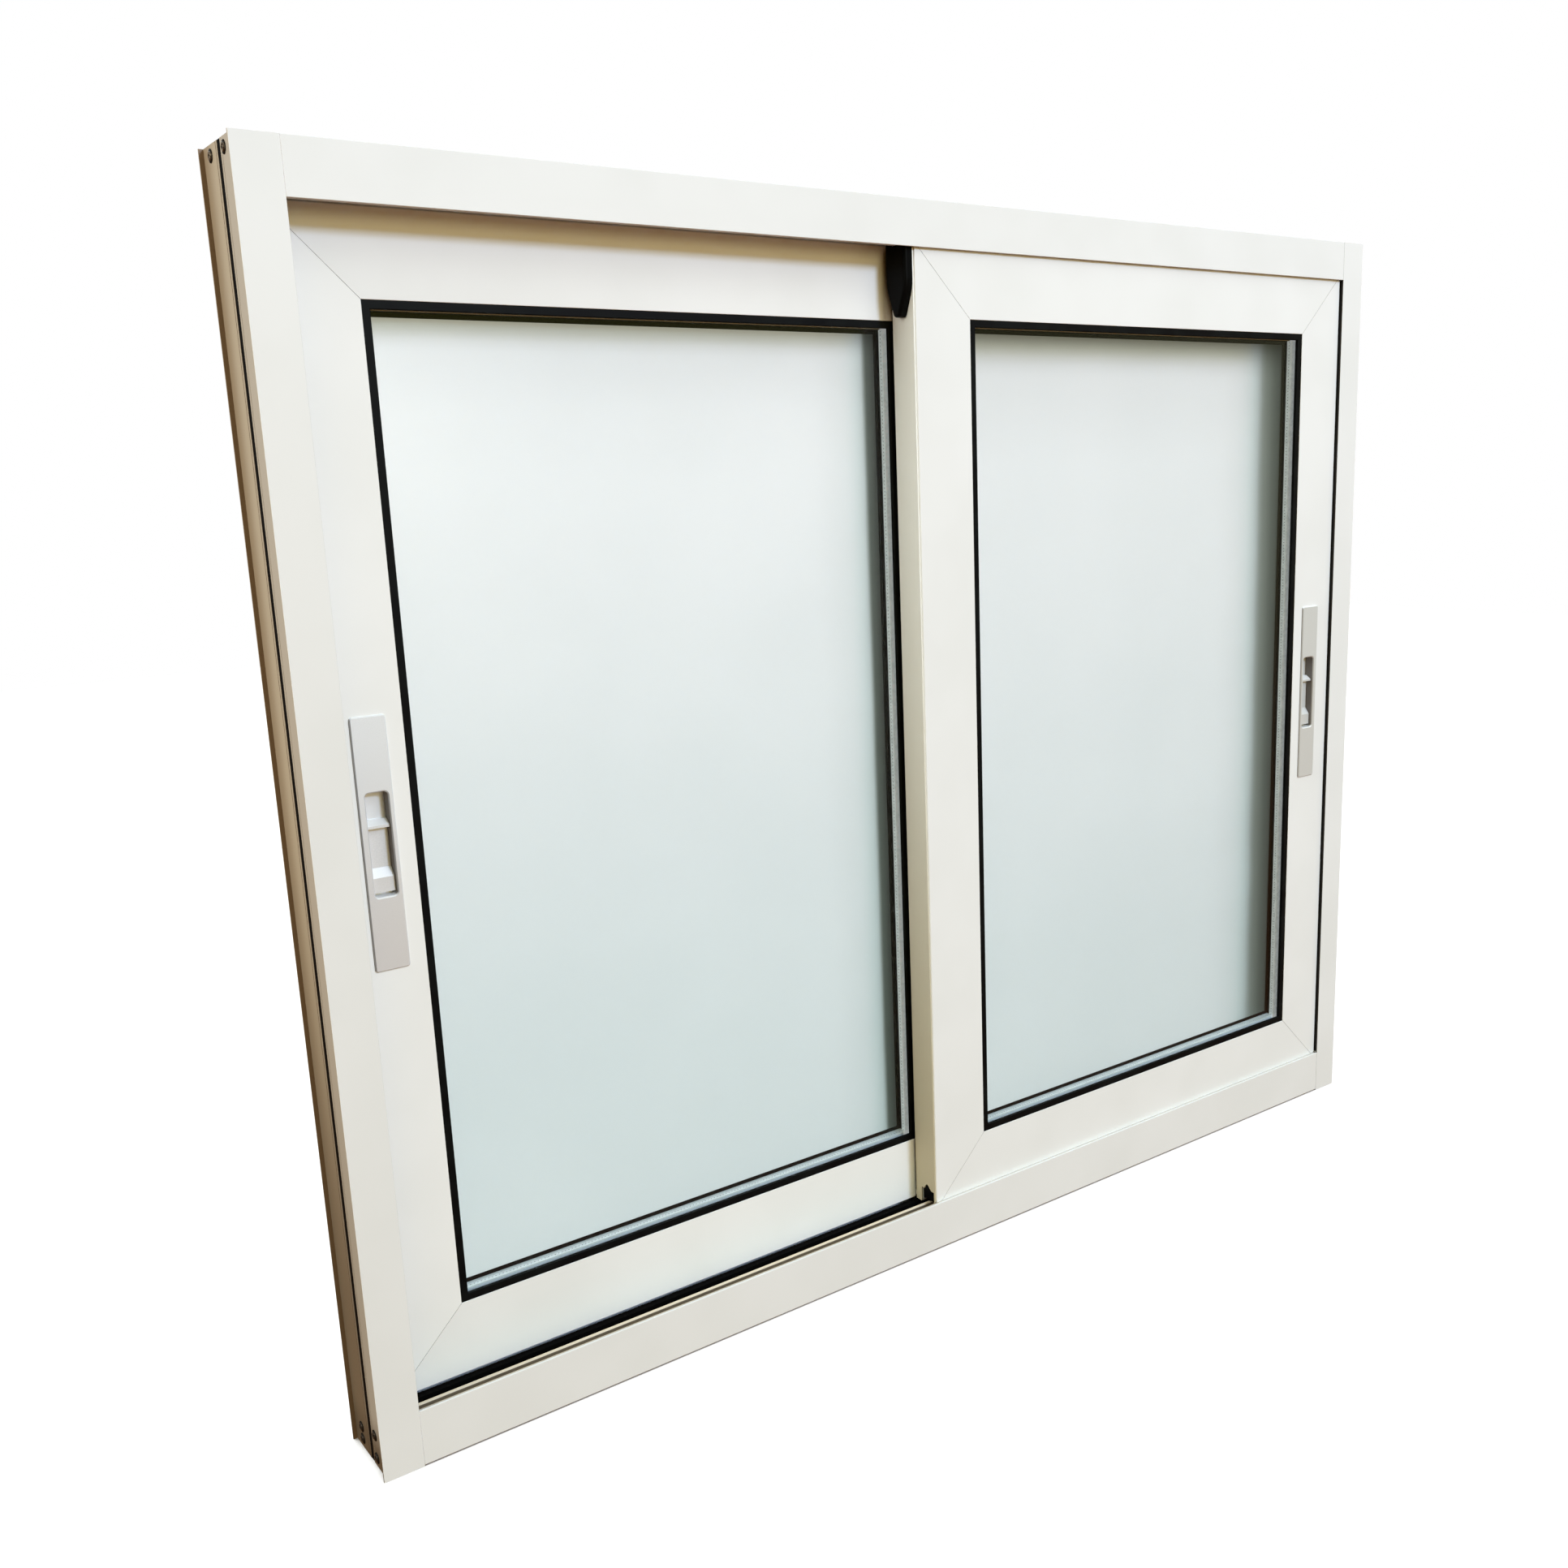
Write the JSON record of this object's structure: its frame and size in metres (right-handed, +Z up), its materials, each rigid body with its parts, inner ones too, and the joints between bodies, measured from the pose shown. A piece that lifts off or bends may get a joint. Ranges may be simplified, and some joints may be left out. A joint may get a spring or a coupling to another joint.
{
  "type": "sliding window",
  "caption": "White powder-coated aluminium sliding window: mitred double-glazed sashes with flush pulls in a thermally broken two-track frame.",
  "frame": {"origin": "underside of the sill's room-side web, at the middle of its length and of its seat", "axes": "+X to the right as seen from the room, +Y out of doors, +Z up"},
  "size_m": [1.2, 0.0735, 0.988],
  "materials": {
    "white_powder_coat": "satin white powder coat",
    "black_polyamide": "matt black",
    "clear_glass": "clear float",
    "satin_glass": "satin etched",
    "spacer_aluminium": "mill",
    "black_rubber": "matt",
    "black_nylon": "moulded",
    "roller_nylon": "moulded",
    "satin_silver": "satin metallic",
    "black_pile": "woven pile"
  },
  "bodies": {
    "root": {"left_jamb_front": "white_powder_coat", "left_jamb_rear": "white_powder_coat", "left_jamb_break": "black_polyamide", "right_jamb_front": "white_powder_coat", "right_jamb_rear": "white_powder_coat", "right_jamb_break": "black_polyamide", "head_front": "white_powder_coat", "head_rear": "white_powder_coat", "head_break": "black_polyamide", "sill_front": "white_powder_coat", "sill_rear": "white_powder_coat", "sill_break": "black_polyamide", "front_sash_bottom_rail": "white_powder_coat", "front_sash_right_stile": "white_powder_coat", "front_sash_top_rail": "white_powder_coat", "front_sash_left_stile": "white_powder_coat", "front_sash_front_pane": "clear_glass", "front_sash_rear_pane": "satin_glass", "front_sash_spacer": "spacer_aluminium", "front_sash_front_gasket": "black_rubber", "front_sash_rear_gasket": "black_rubber", "front_sash_beads": "white_powder_coat", "front_sash_meeting_cover": "white_powder_coat", "front_sash_seal_block": "black_nylon", "front_sash_rollers": "roller_nylon", "front_sash_pull": "satin_silver", "front_sash_latch": "satin_silver", "rear_sash_bottom_rail": "white_powder_coat", "rear_sash_right_stile": "white_powder_coat", "rear_sash_top_rail": "white_powder_coat", "rear_sash_left_stile": "white_powder_coat", "rear_sash_front_pane": "clear_glass", "rear_sash_rear_pane": "satin_glass", "rear_sash_spacer": "spacer_aluminium", "rear_sash_front_gasket": "black_rubber", "rear_sash_rear_gasket": "black_rubber", "rear_sash_beads": "white_powder_coat", "rear_sash_meeting_cover": "white_powder_coat", "rear_sash_seal_block": "black_nylon", "rear_sash_rollers": "roller_nylon", "rear_sash_pull": "satin_silver", "rear_sash_latch": "satin_silver", "front_pile": "black_pile", "rear_pile": "black_pile"}
  },
  "joints": []
}
